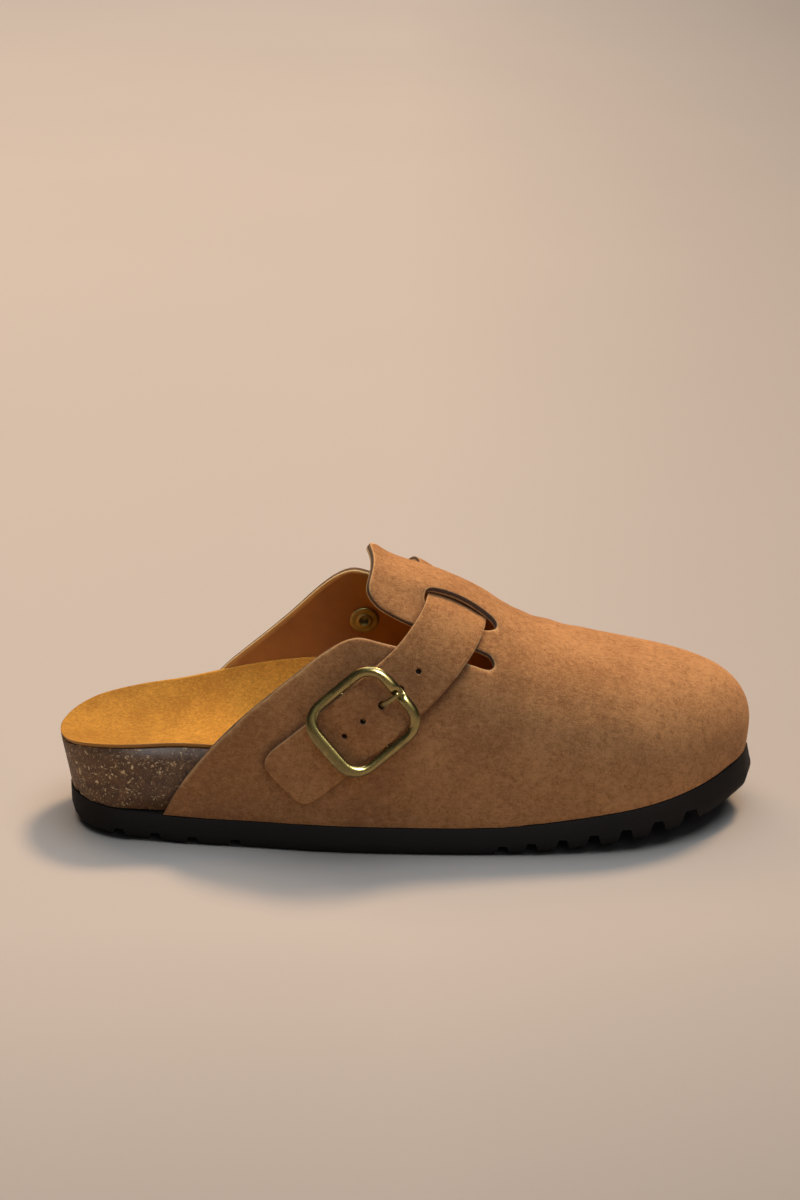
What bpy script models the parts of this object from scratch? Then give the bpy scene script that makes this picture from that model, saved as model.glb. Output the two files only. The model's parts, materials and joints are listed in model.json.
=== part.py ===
"""Clog mule for the right foot: lugged sole, cork bed, suede upper and a buckled strap.

All pieces share one map of the shoe. A station runs along the length, from 0 at the heel rim
to LENGTH at the toe, and a share q runs across it, from -1 at the outer side to +1 at the inner
side. Round heel and toe ends are drawn as reaches from a heel centre and a toe centre.
Sizes are in millimetres and MM turns them into metres.
"""
import math

import bmesh
import bpy
import numpy as np
from mathutils import Matrix, Vector

for old in list(bpy.data.objects):
    bpy.data.objects.remove(old, do_unlink=True)

MM = 0.001
GAP = 0.3
LENGTH = 262.0
HEEL_X = 33.5
TOE_X = 205.0
TOE_Y = 6.0

# Upper
WALL = 2.4
SIDE_POWER = 2.4
TOE_POWER = 2.8
TOE_TUCK = 2.0

# Sole
SOLE_THICK = 11.0
HEEL_BEVEL = 3.0
HEEL_BEVEL_END = 45.75
SPRING_START = 158.0
TOE_SPRING = 13.5
SPRING_POWER = 1.3
TOE_RISE = 10.5
RISE_POWER = 1.4

# Footbed
LINING = 1.1
CUP_POWER = 2.4

# Strap
STRAP_WIDTH = 24.4
STRAP_TAPER = 0.6
TAPER_START = 45.0
TAPER_LENGTH = 25.0
STRAP_THICK = 2.0
STRAP_CORNER = 5.5
STRAP_STEP = 4.6
PATH_STEPS = 420
HOLE_PITCH = 8.75
HOLE_FIRST = 30.9
HOLE_COUNT = 5
HOLE_SIZE = 2.3
PRONG_HOLE = 3.3
PRONG_HOLE_PLACE = 2
# Holes have eight corners, and the first stands left of the middle of a cell's first side.
FIRST_HOLE_CORNER = 247.5
RIVET_HOLE = 3.9
RIVET_SEAT = 5.4
RIVET_FROM_END = 9.0
BUCKLE_FROM_TIP = 39.9

# Slots that the strap runs through, one each side of the tongue
SLOT_LOW = 69.5
SLOT_HIGH = 76.5
SLOT_REAR = 136.8
SLOT_FRONT = 163.7
SLOT_BOW = 3.6
SLOT_CLOSE = 3.0
BRIDGE_SINK = 0.8

# The last: half-widths from the heel axis and the height of the ridge, at each station.
SIDE_COLUMNS = ("station", "lateral", "medial", "ridge")
SIDE_ROWS = (
    (33.5, 30.9, 30.9, 120.0),
    (46.0, 33.4, 32.0, 119.0),
    (60.0, 35.3, 32.8, 117.5),
    (76.0, 37.4, 33.2, 115.0),
    (92.0, 40.0, 33.5, 111.0),
    (110.0, 42.0, 34.6, 104.6),
    (128.0, 42.9, 37.2, 96.8),
    (146.0, 43.4, 41.8, 89.2),
    (165.0, 43.6, 46.0, 79.2),
    (185.0, 43.2, 48.4, 71.1),
    (205.0, 41.5, 48.6, 65.9),
)

# Reach of the toe outline from the toe centre, by angle from straight ahead.
TOE_COLUMNS = ("angle", "reach")
TOE_ROWS = (
    (-105.0, 50.2),
    (-90.0, 47.5),
    (-75.0, 46.9),
    (-60.0, 47.2),
    (-30.0, 50.7),
    (0.0, 57.0),
    (30.0, 51.6),
    (60.0, 44.4),
    (75.0, 42.7),
    (90.0, 42.6),
    (105.0, 44.2),
)

# Reach of the heel outlines from the heel centre, by angle from straight back.
HEEL_COLUMNS = ("angle", "foot", "rim")
HEEL_ROWS = (
    (-90.0, 30.9, 33.0),
    (-60.0, 31.4, 33.3),
    (-30.0, 31.0, 33.5),
    (0.0, 30.0, 33.5),
    (30.0, 31.0, 33.5),
    (60.0, 31.4, 33.3),
    (90.0, 30.9, 33.0),
)

# Height of the footbed at its two edges and along its middle.
BED_COLUMNS = ("station", "lateral", "medial", "middle")
BED_ROWS = (
    (0.0, 34.2, 34.2, 29.2),
    (11.0, 37.4, 36.0, 28.8),
    (26.0, 39.7, 37.5, 28.2),
    (37.0, 40.0, 39.6, 28.0),
    (57.0, 39.6, 44.8, 28.6),
    (75.0, 39.2, 48.1, 30.0),
    (98.0, 38.0, 50.5, 31.6),
    (120.0, 35.5, 46.5, 30.0),
    (145.0, 30.5, 37.5, 26.0),
    (165.0, 27.5, 30.0, 23.6),
    (185.0, 27.2, 28.2, 23.4),
    (205.0, 28.0, 29.0, 24.6),
    (235.0, 31.8, 32.2, 28.6),
    (262.0, 37.0, 37.0, 34.0),
)

# Pattern lines of the quarters, from the foot up to the slit: the angle on the vamp, then
# the station and angle where the line meets the rear edge, outer side and inner side.
QUARTER_COLUMNS = (
    "lat_angle", "lat_rear", "lat_rear_angle",
    "med_angle", "med_rear", "med_rear_angle",
)
QUARTER_ROWS = (
    (0.0, 40.6, 0.0, 0.0, 41.0, 0.0),
    (4.0, 47.0, 4.5, 4.0, 46.5, 5.0),
    (10.0, 56.0, 9.9, 10.5, 56.0, 13.4),
    (17.0, 67.5, 16.8, 18.0, 66.2, 18.4),
    (25.0, 80.0, 23.9, 26.5, 78.0, 25.0),
    (33.0, 92.5, 32.1, 36.0, 89.8, 33.6),
    (40.5, 102.5, 40.0, 46.0, 100.5, 45.2),
    (50.0, 112.0, 46.4, 54.5, 110.0, 54.8),
)

# Pattern lines of the tongue, from the slit up to the line beside the ridge: the angle on the
# vamp each side, then the station and angle where the line meets the tongue's rear edge.
TONGUE_COLUMNS = ("lat_angle", "med_angle", "lat_rear", "med_rear", "rear_angle")
TONGUE_ROWS = (
    (57.8, 62.0, 121.0, 122.5, 59.5),
    (61.2, 64.5, 116.9, 119.6, 62.6),
    (65.2, 67.0, 116.2, 119.2, 66.0),
    (69.5, 69.5, 116.8, 119.3, 70.0),
    (76.5, 76.5, 117.5, 119.2, 75.8),
    (82.0, 82.0, 117.5, 118.4, 81.5),
    (86.0, 86.0, 116.9, 117.2, 86.0),
)
RIDGE_REAR = 114.9
THROAT = 166.0
SLIT_SHOULDER = 161.3
SLIT_TIP = 163.4
TONGUE_STATIONS = (123.5, 130.5, SLOT_REAR, 141.2, 147.2, 153.5, 159.5)
SLOT_CELLS = {-1: range(3, 8), 1: range(2, 8)}
QUARTER_SHARES = (0.0, 0.13, 0.26, 0.39, 0.52, 0.64, 0.76, 0.88)
VAMP_STATIONS = (172.0, 180.0, 189.0, 197.0, 205.0)
TOE_SHARES = (0.1, 0.2, 0.3, 0.4, 0.5, 0.6, 0.7, 0.79, 0.87, 0.94, 1.0)

# Lift of the crown over the strap and flare of the tongue's end, along the length.
RELIEF_COLUMNS = ("station", "crown", "flare")
RELIEF_ROWS = (
    (112.0, 0.8, 4.4),
    (117.0, 0.8, 2.6),
    (124.0, 1.4, 0.3),
    (130.0, 2.1, 0.0),
    (133.5, 2.5, 0.0),
    (136.8, 2.6, 0.0),
    (150.0, 2.6, 0.0),
    (159.0, 2.6, 0.0),
    (163.7, 1.6, 0.0),
    (169.0, 0.4, 0.0),
    (174.0, 0.0, 0.0),
)

# The strap's middle line on the upper, from the loose tip to the rivet.
STRAP_COLUMNS = ("station", "angle")
STRAP_ROWS = (
    (85.2, 6.1),
    (101.2, 14.0),
    (115.2, 23.0),
    (124.5, 30.2),
    (132.3, 37.5),
    (138.2, 45.0),
    (142.9, 53.4),
    (146.8, 63.4),
    (149.1, 74.5),
    (150.3, 90.0),
    (147.2, 105.5),
    (143.2, 118.0),
    (136.8, 129.0),
)

# Lift of the strap over the buckle's bar and prong, by distance from the bar.
RISE_COLUMNS = ("along", "lift")
RISE_ROWS = (
    (-22.0, 0.3),
    (-17.0, 0.35),
    (-11.0, 0.9),
    (-5.0, 2.3),
    (0.0, 3.0),
    (5.0, 2.6),
    (9.0, 2.0),
    (11.5, 1.55),
    (15.0, 0.8),
    (20.0, 0.3),
)

# Drop of the strap through the slots, by angle from the foot.
DROP_COLUMNS = ("angle", "lift")
DROP_ROWS = (
    (55.0, 0.3),
    (60.0, 0.3),
    (66.5, 0.12),
    (70.3, -0.15),
    (74.8, -1.55),
    (78.8, -2.5),
    (82.5, -2.6),
    (90.0, -2.6),
)

# Side of the sole below its top edge: height, how far inside the outline, and how far out at the toe.
EDGE_COLUMNS = ("height", "inset", "toe_out")
EDGE_TOP_TOE_OUT = -1.4
EDGE_ROWS = (
    (9.0, 0.0, -0.4),
    (6.8, 0.0, 0.2),
    (4.8, 0.0, 0.3),
    (3.0, 0.1, 0.0),
    (1.5, 0.5, -0.6),
    (0.5, 1.1, -1.4),
    (0.0, 1.9, -2.3),
)

# The strap's rear edge arches off the upper where it leaves the inner slot, between two angles.
ARCH_LOW = 50.0
ARCH_HIGH = 75.0
ARCH_REAR = 135.0
ARCH_FRONT = 147.5
ARCH_LIFT = 5.4

# Grooves between the lugs: where, how wide and how deep. They narrow from a mouth to a ceiling.
GROOVE_MOUTH = 1.7
GROOVE_CEILING = 0.7
GROOVE_BELOW = 2.0
GROOVE_REACH = 70.0
GROOVE_COLUMNS = ("station", "width", "depth")
GROOVE_ROWS = (
    (24.0, 4.2, 3.2),
    (37.5, 4.2, 3.2),
    (51.5, 4.2, 3.2),
    (67.5, 4.2, 3.2),
    (166.0, 4.2, 3.6),
    (176.5, 4.2, 4.0),
    (188.0, 4.2, 4.4),
    (199.5, 4.4, 4.8),
    (211.5, 4.6, 5.2),
    (223.5, 5.0, 5.6),
    (236.0, 5.8, 5.8),
)

# Buckle
FRAME_ALONG = 32.9
FRAME_ACROSS = 29.3
FRAME_CORNER = 8.0
FRAME_HEIGHT = 3.0
# A smaller power gives the band a flatter top, and its foot is the flattest.
BAND_ROUND = 1.0
BAND_SIDES = 10
FOOT_FLAT = 0.45
FRAME_BOW = 1.3
FRAME_BASE = 2.75
SIDE_BAND = 3.9
TOP_BAND = 4.4
FOOT_BAND = 5.2
NOTCH_HALF = 1.5
NOTCH_DEPTH = 1.3
BAR_RADIUS = 1.0
BAR_HEIGHT = 1.4
BAR_LENGTH = 31.8
PRONG_WIDTH = 2.2
PRONG_THICK = 1.2
PRONG_COLUMNS = ("along", "height")
PRONG_ROWS = (
    (1.45, 0.95),
    (4.0, 0.95),
    (6.9, 0.95),
    (8.0, 1.5),
    (8.35, 3.0),
    (8.7, 4.5),
    (10.3, 5.9),
    (13.2, 6.7),
    (16.7, 6.9),
)

# Rivet, as a turned outline: radius and height above the upper.
RIVET_SIDES = 20
RIVET_STATION = 114.3
RIVET_ANGLE = 33.0
RIVET_COLUMNS = ("radius", "height")
RIVET_ROWS = (
    (0.0, 4.4),
    (2.4, 4.2),
    (4.0, 3.6),
    (4.6, 2.95),
    (4.4, 2.65),
    (1.6, 2.65),
    (1.6, -2.75),
    (5.3, -2.75),
    (5.75, -3.05),
    (5.5, -3.4),
    (4.4, -3.55),
    (3.3, -3.3),
    (2.7, -3.75),
    (2.1, -3.8),
    (1.5, -3.3),
    (1.25, -1.0),
    (0.0, -1.0),
)


def column(rows, names, name):
    """One named column of a table, as an array."""
    place = names.index(name)
    return np.array([row[place] for row in rows])


def smooth_through(at, xs, ys):
    """A smooth curve through the table's points, without overshoot at flat stretches."""
    xs = np.asarray(xs, float)
    ys = np.asarray(ys, float)
    steps = np.diff(xs)
    slopes = np.diff(ys) / steps
    tangents = np.empty_like(ys)
    tangents[0] = slopes[0]
    tangents[-1] = slopes[-1]
    blend = steps[1:] / (steps[:-1] + steps[1:])
    tangents[1:-1] = slopes[:-1] * blend + slopes[1:] * (1.0 - blend)
    at = min(max(at, xs[0]), xs[-1])
    k = int(np.clip(np.searchsorted(xs, at) - 1, 0, len(steps) - 1))
    t = (at - xs[k]) / steps[k]
    a = (2.0 * t**3 - 3.0 * t**2 + 1.0) * ys[k] + (-2.0 * t**3 + 3.0 * t**2) * ys[k + 1]
    b = (t**3 - 2.0 * t**2 + t) * tangents[k] + (t**3 - t**2) * tangents[k + 1]
    return a + b * steps[k]


def from_table(rows, names, key, name, at):
    """The smooth value of a named column at a place along the table."""
    return smooth_through(at, column(rows, names, key), column(rows, names, name))


def ease(value):
    """A smooth step from 0 to 1."""
    value = min(max(value, 0.0), 1.0)
    return value * value * (3.0 - 2.0 * value)


def heel_lift(x):
    """Height that the bevel at the back of the heel adds."""
    return HEEL_BEVEL * max(0.0, (HEEL_BEVEL_END - x) / HEEL_BEVEL_END)


def sprung(x):
    """Share of the way from the start of the toe spring to the tip."""
    return max(0.0, (x - SPRING_START) / (LENGTH - SPRING_START))


def sole_bottom(x):
    """Height of the sole's underside: heel bevel, flat waist and rise to the toe."""
    return heel_lift(x) + TOE_RISE * sprung(x) ** RISE_POWER


def sole_top(x):
    """Height of the sole's upper face, which springs more than the underside rises."""
    return heel_lift(x) + SOLE_THICK + TOE_SPRING * sprung(x) ** SPRING_POWER


def spine_y(x):
    """The line between heel centre and toe centre, seen from above."""
    return TOE_Y * (x - HEEL_X) / (TOE_X - HEEL_X)


def half_width(x, side):
    """Half-width of the lasted outline from the heel axis."""
    name = "lateral" if side < 0 else "medial"
    return from_table(SIDE_ROWS, SIDE_COLUMNS, "station", name, x)


def disc(p, q):
    """Angle and radius of a square grid place carried onto a half disc."""
    ahead = p * math.sqrt(1.0 - q * q / 2.0)
    across = q * math.sqrt(1.0 - p * p / 2.0)
    return math.degrees(math.atan2(across, ahead)), math.hypot(ahead, across)


def ray(station, q, heel="foot"):
    """Where a grid place looks out from: centre, direction, reach, share of the reach, angle."""
    side = -1 if q < 0 else 1
    if station > TOE_X:
        angle, share = disc((station - TOE_X) / (LENGTH - TOE_X), q)
        reach = from_table(TOE_ROWS, TOE_COLUMNS, "angle", "reach", angle)
        turn = math.radians(angle)
        return (TOE_X, TOE_Y), (math.cos(turn), math.sin(turn)), reach, share, angle
    if station < HEEL_X:
        angle, share = disc((HEEL_X - station) / HEEL_X, q)
        reach = from_table(HEEL_ROWS, HEEL_COLUMNS, "angle", heel, angle)
        turn = math.radians(angle)
        return (HEEL_X, 0.0), (-math.cos(turn), math.sin(turn)), reach, share, angle
    middle = spine_y(station)
    reach = half_width(station, side) - side * middle
    return (station, middle), (0.0, float(side)), reach, abs(q), 90.0 * side


def section_share(height_share, power):
    """Share of the half-width that a section keeps at a share of its height."""
    return (1.0 - min(max(height_share, 0.0), 1.0) ** power) ** (1.0 / power)


def skin(station, q):
    """A point on the smooth outside of the lasted upper."""
    centre, way, reach, share, angle = ray(station, q)
    toe = math.cos(math.radians(angle)) ** 2 if station > TOE_X else 0.0
    power = SIDE_POWER + (TOE_POWER - SIDE_POWER) * toe
    lean = math.radians(90.0 * (1.0 - share))
    out = max(math.cos(lean), 0.0) ** (2.0 / power)
    up = max(math.sin(lean), 0.0) ** (2.0 / power)
    far = reach * out
    far -= TOE_TUCK * toe * max(0.0, (share - 0.8) / 0.2) ** 2
    x = centre[0] + way[0] * far
    y = centre[1] + way[1] * far
    foot = sole_top(centre[0] + way[0] * reach) + GAP
    ridge = from_table(SIDE_ROWS, SIDE_COLUMNS, "station", "ridge", min(station, TOE_X))
    z = foot + (ridge - foot) * up
    if station > TOE_X:
        before = from_table(SIDE_ROWS, SIDE_COLUMNS, "station", "ridge", TOE_X - 8.0)
        slope = (ridge - before) / 8.0
        fade = up + (1.0 - out - up) * toe
        z += slope * (x - TOE_X) * fade
    return np.array((x, y, z))


def skin_normal(station, q):
    """Outward direction of the smooth upper."""
    step = 0.4
    along = skin(station + step, q) - skin(station - step, q)
    across = skin(station, min(q + 0.01, 1.0)) - skin(station, max(q - 0.01, -1.0))
    normal = np.cross(along, across)
    return normal / np.linalg.norm(normal)


def relief(station, q):
    """How far the made upper stands off the smooth one: crown, bridge and flared tongue end."""
    if station > RELIEF_ROWS[-1][0]:
        return 0.0
    angle = 90.0 * (1.0 - abs(q))
    crown = from_table(RELIEF_ROWS, RELIEF_COLUMNS, "station", "crown", station)
    flare = from_table(RELIEF_ROWS, RELIEF_COLUMNS, "station", "flare", station)
    rise = ease((angle - SLOT_LOW) / (SLOT_HIGH - SLOT_LOW))
    pressed = ease((angle - 58.0) / (SLOT_LOW - 58.0)) * (1.0 - rise)
    held = ease((station - SLOT_REAR + 3.0) / 6.0) * ease((SLOT_FRONT - station) / 5.0)
    return crown * rise - BRIDGE_SINK * held * pressed + flare * ease((angle - 52.0) / 20.0)


def upper_point(station, q):
    """A point on the outside of the made upper."""
    return skin(station, q) + skin_normal(station, q) * relief(station, q)


def share_of(angle, side):
    """The share across the shoe of a section angle measured up from the foot."""
    return side * (1.0 - angle / 90.0)


def bed_height(x, edge_x, share, side):
    """Height of the cupped footbed."""
    name = "lateral" if side < 0 else "medial"
    middle = from_table(BED_ROWS, BED_COLUMNS, "station", "middle", x)
    edge = from_table(BED_ROWS, BED_COLUMNS, "station", name, edge_x)
    low = from_table(BED_ROWS, BED_COLUMNS, "station", "middle", edge_x)
    return middle + (edge - low) * share**CUP_POWER


def material(name, colour, rough, metal=0.0):
    """A plain Principled material."""
    made = bpy.data.materials.new(name)
    made.use_nodes = True
    shader = made.node_tree.nodes["Principled BSDF"]
    shader.inputs["Base Color"].default_value = (*colour, 1.0)
    shader.inputs["Roughness"].default_value = rough
    shader.inputs["Metallic"].default_value = metal
    return made


def put(name, shape, look):
    """Turn a bmesh in millimetres into a named object in metres."""
    bmesh.ops.recalc_face_normals(shape, faces=shape.faces)
    bmesh.ops.scale(shape, vec=(MM, MM, MM), verts=shape.verts)
    mesh = bpy.data.meshes.new(name)
    shape.to_mesh(mesh)
    shape.free()
    mesh.materials.append(look)
    made = bpy.data.objects.new(name, mesh)
    bpy.context.scene.collection.objects.link(made)
    return made


def rim_of(count_a, count_b):
    """Grid places round the edge of a grid, in order."""
    places = [(a, 0) for a in range(count_a)]
    places += [(count_a - 1, b) for b in range(1, count_b)]
    places += [(a, count_b - 1) for a in range(count_a - 2, -1, -1)]
    places += [(0, b) for b in range(count_b - 2, 0, -1)]
    return places


def hole_in(shape, corners, size):
    """Fills a four-sided cell with faces round an eight-sided hole, and gives the hole's points."""
    places = [np.array(corner.co) for corner in corners]
    middle = sum(places) / 4.0
    along = places[1] + places[2] - places[0] - places[3]
    along /= np.linalg.norm(along)
    across = places[2] + places[3] - places[0] - places[1]
    across -= along * across.dot(along)
    across /= np.linalg.norm(across)
    ring = []
    for k in range(8):
        turn = math.radians(FIRST_HOLE_CORNER + 45.0 * k)
        offset = along * math.cos(turn) + across * math.sin(turn)
        ring.append(shape.verts.new(middle + offset * size / 2.0))
    for k in range(4):
        shape.faces.new((corners[k], corners[(k + 1) % 4], ring[2 * k + 1], ring[2 * k]))
        shape.faces.new((corners[k], ring[2 * k], ring[2 * k - 1]))
    return ring


def slab(top, bottom, rings=(), holes=()):
    """A closed solid between two grids, with rings on its edge and holes through named cells."""
    shape = bmesh.new()
    count_a, count_b = top.shape[:2]
    upper = [[shape.verts.new(top[a, b]) for b in range(count_b)] for a in range(count_a)]
    lower = [[shape.verts.new(bottom[a, b]) for b in range(count_b)] for a in range(count_a)]
    cut = {(a, b): size for a, b, size in holes}
    for a in range(count_a - 1):
        for b in range(count_b - 1):
            corners = ((a, b), (a + 1, b), (a + 1, b + 1), (a, b + 1))
            if (a, b) in cut:
                high = hole_in(shape, [upper[i][j] for i, j in corners], cut[a, b])
                low = hole_in(shape, [lower[i][j] for i, j in corners], cut[a, b])
                for k in range(8):
                    n = (k + 1) % 8
                    shape.faces.new((high[k], high[n], low[n], low[k]))
                continue
            shape.faces.new([upper[i][j] for i, j in corners])
            shape.faces.new([lower[i][j] for i, j in corners[:1] + corners[:0:-1]])
    edge = rim_of(count_a, count_b)
    bands = [[upper[a][b] for a, b in edge]]
    for ring in rings:
        bands.append([shape.verts.new(point) for point in ring])
    bands.append([lower[a][b] for a, b in edge])
    for first, second in zip(bands[:-1], bands[1:]):
        for k in range(len(edge)):
            n = (k + 1) % len(edge)
            shape.faces.new((first[k], first[n], second[n], second[k]))
    return shape


SUEDE = material("suede", (0.36, 0.19, 0.09), 0.9)
STRAP_LEATHER = material("strap_leather", (0.33, 0.17, 0.08), 0.85)
LINING_SUEDE = material("lining_suede", (0.55, 0.33, 0.13), 0.9)
CORK = material("cork", (0.36, 0.22, 0.12), 0.9)
RUBBER = material("rubber", (0.02, 0.02, 0.02), 0.6)
BRASS = material("brass", (0.55, 0.38, 0.16), 0.3, 1.0)
BRASS_BAR = material("brass_bar", (0.5, 0.35, 0.15), 0.35, 1.0)
BRASS_PRONG = material("brass_prong", (0.6, 0.42, 0.18), 0.25, 1.0)
BRASS_RIVET = material("brass_rivet", (0.58, 0.4, 0.17), 0.3, 1.0)

# Grid places shared by the sole, the cork bed and the lining
HEEL_SHARES = (1.0, 0.93, 0.8, 0.6, 0.35)
END_SHARES = (0.2, 0.4, 0.6, 0.8, 0.93, 1.0)
GRID_STATIONS = [HEEL_X * (1.0 - p) for p in HEEL_SHARES]
GRID_STATIONS += list(np.linspace(HEEL_X, TOE_X, 15))
GRID_STATIONS += [TOE_X + (LENGTH - TOE_X) * p for p in END_SHARES]
HALF_SHARES = (0.3, 0.6, 0.8, 0.93, 1.0)
GRID_SHARES = [-q for q in reversed(HALF_SHARES)] + [0.0] + list(HALF_SHARES)


def build_outsole():
    """Rubber sole with a rounded lower edge, and the grooves between its lugs."""

    def place(station, q, height, inset, toe_out, face=sole_bottom):
        centre, way, reach, share, angle = ray(station, q)
        toe = math.cos(math.radians(angle)) ** 2 if station > TOE_X else 0.0
        far = share * (reach - inset + toe_out * toe)
        x = centre[0] + way[0] * far
        return (x, centre[1] + way[1] * far, face(x) + height)

    top, low = [], []
    for s in GRID_STATIONS:
        top.append([place(s, q, 0.0, 0.0, EDGE_TOP_TOE_OUT, sole_top) for q in GRID_SHARES])
        low.append([place(s, q, *EDGE_ROWS[-1]) for q in GRID_SHARES])
    top, low = np.array(top), np.array(low)
    edge = rim_of(len(GRID_STATIONS), len(GRID_SHARES))
    rings = []
    for row in EDGE_ROWS[:-1]:
        rings.append([place(GRID_STATIONS[a], GRID_SHARES[b], *row) for a, b in edge])
    sole = put("outsole", slab(top, low, rings), RUBBER)

    shape = bmesh.new()
    for station, width, depth in GROOVE_ROWS:
        z = sole_bottom(station)
        mouth = GROOVE_MOUTH * width / 2.0
        ceiling = GROOVE_CEILING * width / 2.0
        profile = (
            (station - mouth, z - GROOVE_BELOW),
            (station - ceiling, z + depth),
            (station + ceiling, z + depth),
            (station + mouth, z - GROOVE_BELOW),
        )
        near = [shape.verts.new((x, -GROOVE_REACH, h)) for x, h in profile]
        far = [shape.verts.new((x, GROOVE_REACH, h)) for x, h in profile]
        shape.faces.new(near)
        shape.faces.new(list(reversed(far)))
        for k in range(4):
            n = (k + 1) % 4
            shape.faces.new((near[k], far[k], far[n], near[n]))
    cutter = put("groove_cutter", shape, RUBBER)
    cutter.hide_render = True
    cutter.display_type = "WIRE"
    cut = sole.modifiers.new("grooves", "BOOLEAN")
    cut.operation = "DIFFERENCE"
    cut.solver = "EXACT"
    cut.object = cutter
    return sole


def bed_edges(station, q):
    """Centre, direction, reach of the bed's rim and of its foot, share, and the side."""
    side = -1 if q < 0 else 1
    centre, way, foot, share, angle = ray(station, q)
    rim = ray(station, q, "rim")[2]
    cover = WALL + GAP
    if station >= HEEL_X:
        edge_x = centre[0] + way[0] * foot
        name = "lateral" if side < 0 else "medial"
        height = from_table(BED_ROWS, BED_COLUMNS, "station", name, edge_x)
        ridge = from_table(SIDE_ROWS, SIDE_COLUMNS, "station", "ridge", min(station, TOE_X))
        base = sole_top(edge_x)
        toe = math.cos(math.radians(angle)) ** 2 if station > TOE_X else 0.0
        under = foot * section_share((height - base) / (ridge - base), SIDE_POWER) - cover
        free = HEEL_ROWS[0][2] - side * spine_y(station)
        worn = ease((station - 31.0) / 18.0)
        rim = free + (under - free) * worn - 0.3 * toe
        foot -= 0.2 + (cover + 0.6) * ease((station - 31.0) / 7.0) + TOE_TUCK * toe
    else:
        foot -= 0.2
    return centre, way, rim, foot, share, side


def bed_grid(drop):
    """The cupped top of the bed, lowered by drop, out to its rim."""
    rows = []
    for station in GRID_STATIONS:
        line = []
        for q in GRID_SHARES:
            centre, way, rim, foot, share, side = bed_edges(station, q)
            x = centre[0] + way[0] * rim * share
            y = centre[1] + way[1] * rim * share
            line.append((x, y, bed_height(x, centre[0] + way[0] * rim, share, side) - drop))
        rows.append(line)
    return np.array(rows)


def build_bed():
    """Cork bed and the suede lining on it."""
    low = []
    for station in GRID_STATIONS:
        line = []
        for q in GRID_SHARES:
            centre, way, rim, foot, share, side = bed_edges(station, q)
            x = centre[0] + way[0] * foot * share
            line.append((x, centre[1] + way[1] * foot * share, sole_top(x) + GAP))
        low.append(line)
    put("cork_footbed", slab(bed_grid(LINING + GAP), np.array(low)), CORK)
    put("insole", slab(bed_grid(0.0), bed_grid(LINING)), LINING_SUEDE)


def upper_lines():
    """Grid places of the upper as (station, q), row by row from outer foot to inner foot."""
    front = [THROAT] + list(VAMP_STATIONS) + [TOE_X + (LENGTH - TOE_X) * p for p in TOE_SHARES]
    quarters = {-1: [], 1: []}
    tongues = {-1: [], 1: []}
    slits = {}
    for side, tag in ((-1, "lat"), (1, "med")):
        angles = column(QUARTER_ROWS, QUARTER_COLUMNS, tag + "_angle")
        rears = column(QUARTER_ROWS, QUARTER_COLUMNS, tag + "_rear")
        rear_angles = column(QUARTER_ROWS, QUARTER_COLUMNS, tag + "_rear_angle")
        last = len(angles) - 1
        for k, (angle, rear, rear_angle) in enumerate(zip(angles, rears, rear_angles)):
            end = SLIT_SHOULDER if k == last else THROAT
            line = []
            for t in QUARTER_SHARES + (1.0,):
                bend = t * t * (3.0 - 2.0 * t) if k == last else t
                leaning = rear_angle + (angle - rear_angle) * bend
                line.append((rear + (end - rear) * t, share_of(leaning, side)))
            line += [(s, share_of(angle, side)) for s in front[1:]]
            quarters[side].append(line)
        slit_angle = (angles[-1] + column(TONGUE_ROWS, TONGUE_COLUMNS, tag + "_angle")[0]) / 2.0
        slits[side] = [(SLIT_TIP, share_of(slit_angle, side))]
        slits[side] += [(s, share_of(slit_angle, side)) for s in front[1:]]
        for k, row in enumerate(TONGUE_ROWS):
            angle = row[TONGUE_COLUMNS.index(tag + "_angle")]
            rear = row[TONGUE_COLUMNS.index(tag + "_rear")]
            rear_angle = row[TONGUE_COLUMNS.index("rear_angle")]
            end = {0: SLIT_SHOULDER, 3: SLOT_FRONT, 4: SLOT_FRONT}.get(k, THROAT)
            bow = {4: SLOT_BOW, 5: SLOT_BOW / 3.0}.get(k, 0.0)
            line = [(rear, share_of(rear_angle, side))]
            for s in TONGUE_STATIONS:
                t = min((s - rear) / (TONGUE_STATIONS[1] - rear), 1.0)
                edge_angle = rear_angle + (angle - rear_angle) * t
                arch = min(max((s - SLOT_REAR) / (SLOT_FRONT - SLOT_REAR), 0.0), 1.0)
                edge_angle += bow * math.sin(math.pi * arch)
                line.append((s if k else s + 2.5 * (1.0 - t), share_of(edge_angle, side)))
            line.append((end, share_of(angle + (SLOT_CLOSE if k == 3 else 0.0), side)))
            line += [(s, share_of(angle, side)) for s in front[1:]]
            tongues[side].append(line)
    ridge = [(RIDGE_REAR, 0.0)] + [(s, 0.0) for s in TONGUE_STATIONS] + [(s, 0.0) for s in front]
    return quarters, slits, tongues, ridge


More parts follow.
